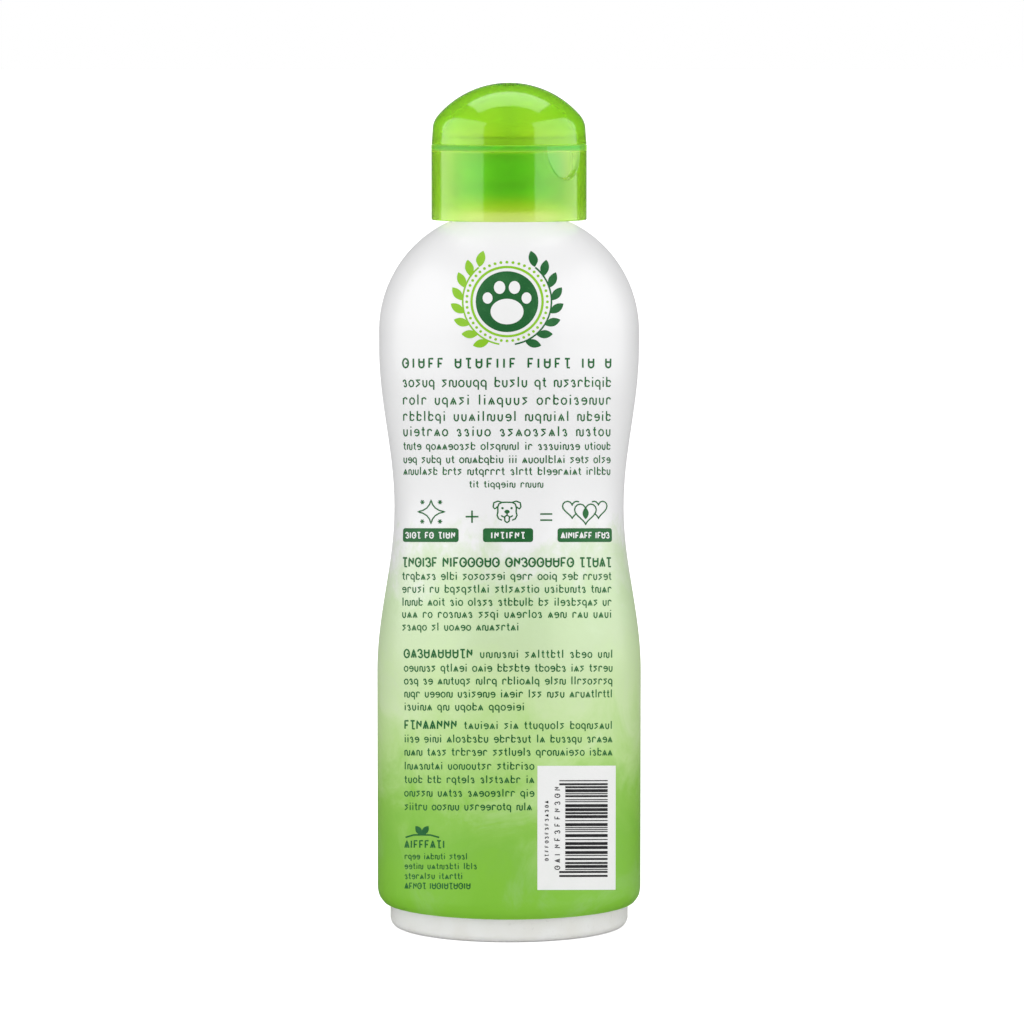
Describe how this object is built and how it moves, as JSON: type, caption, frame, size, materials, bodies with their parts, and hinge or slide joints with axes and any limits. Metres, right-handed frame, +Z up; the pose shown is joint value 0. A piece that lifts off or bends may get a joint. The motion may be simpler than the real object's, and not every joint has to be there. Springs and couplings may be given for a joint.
{
  "type": "flip-top shampoo bottle",
  "caption": "Round waisted shampoo bottle with a printed shrink sleeve and a screw-on dispensing closure whose domed lid flips open.",
  "frame": {"origin": "centre of the foot ring, on the surface that the bottle stands on", "axes": "+Z up along the bottle's own axis, -Y towards the printed front panel, +X to the viewer's right of that panel"},
  "size_m": [0.0724, 0.0724, 0.231],
  "materials": {
    "bottle_shell": "blown white polyethylene, slightly pearly, soft gloss",
    "printed_film": "glossy shrink film, white above fading to green below, with dark green and light green print",
    "liner": "matt white foam",
    "closure_green": "translucent light green polypropylene, polished"
  },
  "bodies": {
    "bottle": {"bottle_body": "bottle_shell", "shrink_sleeve": "printed_film"},
    "liner": {"liner_ring": "liner"},
    "closure": {"closure_base": "closure_green", "hinge_film_left": "closure_green", "hinge_film_right": "closure_green", "hinge_snap_strap": "closure_green"},
    "lid": {"flip_lid": "closure_green"}
  },
  "joints": [
    {"name": "closure_lift", "type": "slide", "parent": "bottle", "child": "liner", "axis": [0, 0, 1], "range_m": [0, 0.018]},
    {"name": "closure_turn", "type": "hinge", "parent": "liner", "child": "closure", "pos_m": [0, 0, 0.2], "axis": [0, 0, 1], "range_deg": [0, 1530]},
    {"name": "lid_flip", "type": "hinge", "parent": "closure", "child": "lid", "pos_m": [-0.015, 0.01399, 0.21435], "axis": [-0.682, -0.7314, 0], "range_deg": [0, 130], "deforming": ["hinge_film_left", "hinge_film_right", "hinge_snap_strap"]}
  ],
  "couplings": [
    {"joint": "closure_lift", "follows": "closure_turn", "m_per_rad": 0.00067322}
  ]
}
